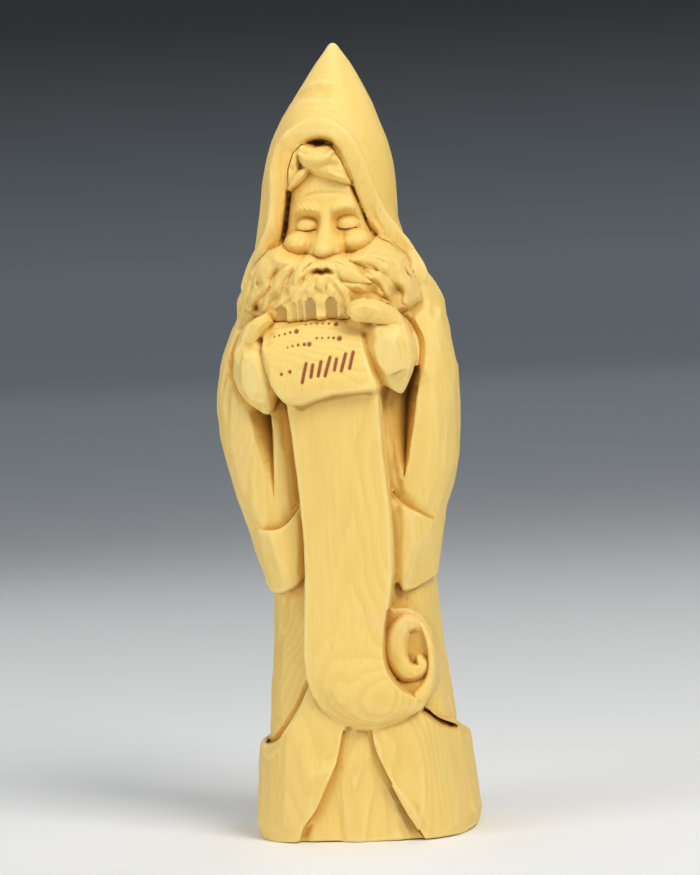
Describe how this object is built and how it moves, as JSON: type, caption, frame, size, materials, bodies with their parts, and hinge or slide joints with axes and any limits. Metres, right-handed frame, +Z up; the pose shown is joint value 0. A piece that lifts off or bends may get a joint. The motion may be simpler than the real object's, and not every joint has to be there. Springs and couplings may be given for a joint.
{
  "type": "santa figurine",
  "caption": "Small hand-carved wooden figure of a bearded old man in a tall pointed hood and long coat, holding out a long paper list that rolls up at its foot.",
  "frame": {"origin": "on the ground, under the middle of the figure's bounding box", "axes": "+Z up to the tip of the hood, -Y is the way the figure faces, +X is the viewer's right from the front"},
  "size_m": [0.0583, 0.0525, 0.19],
  "materials": {
    "basswood": "bare pale basswood, knife-cut, satin oil finish"
  },
  "bodies": {
    "root": {"carved_figure": "basswood"}
  },
  "joints": []
}
